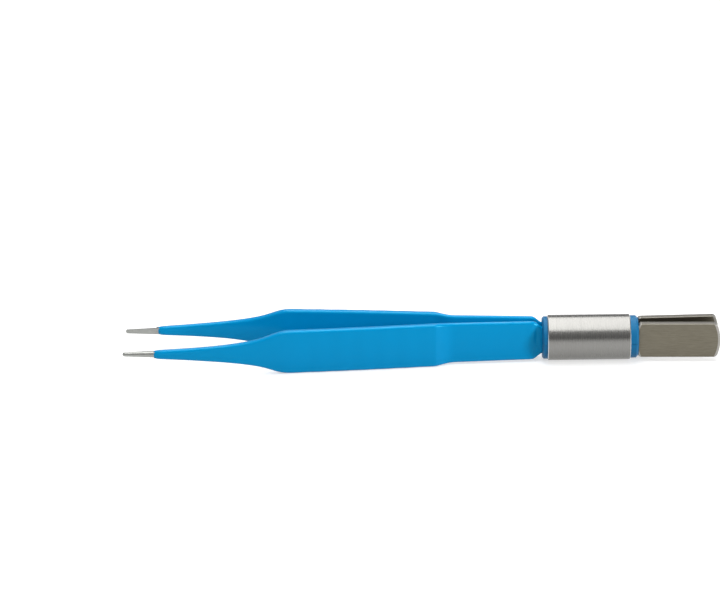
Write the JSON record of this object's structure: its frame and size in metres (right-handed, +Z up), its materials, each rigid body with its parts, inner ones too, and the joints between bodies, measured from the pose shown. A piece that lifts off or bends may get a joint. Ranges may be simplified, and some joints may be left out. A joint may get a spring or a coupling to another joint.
{
  "type": "bipolar forceps",
  "caption": "Straight bipolar forceps: coated spring arms with bare fine tips, held in an insulator inside a steel sleeve, with flat contact plates at the rear.",
  "frame": {"origin": "centre of the steel sleeve, on its axis", "axes": "+X along the sleeve towards the contact plates, Y from one arm to the other, +Z up across the arms' width"},
  "size_m": [0.1205, 0.0142, 0.0092],
  "materials": {
    "sleeve_steel": "brushed round the tube",
    "insulator_plastic": "moulded, satin",
    "contact_steel": "brushed flat",
    "arm_steel": "fine matte",
    "arm_coat": "smooth nylon coat, satin"
  },
  "bodies": {
    "insulator_body": {"sleeve": "sleeve_steel", "insulator_upper_half": "insulator_plastic", "insulator_lower_half": "insulator_plastic", "separator": "insulator_plastic", "near_contact_blade": "contact_steel", "far_contact_blade": "contact_steel"},
    "near_arm": {"near_arm_blade": "arm_steel", "near_arm_insulation": "arm_coat"},
    "far_arm": {"far_arm_blade": "arm_steel", "far_arm_insulation": "arm_coat"}
  },
  "joints": [
    {"name": "near_arm_flex", "type": "hinge", "parent": "insulator_body", "child": "near_arm", "pos_m": [-0.0104, -0.0011, 0], "axis": [0, 0, -1], "range_deg": [0, 4.1], "stiffness_Nm_per_rad": 0.7},
    {"name": "far_arm_flex", "type": "hinge", "parent": "insulator_body", "child": "far_arm", "pos_m": [-0.0104, 0.0011, 0], "axis": [0, 0, 1], "range_deg": [0, 4.1], "stiffness_Nm_per_rad": 0.7}
  ]
}
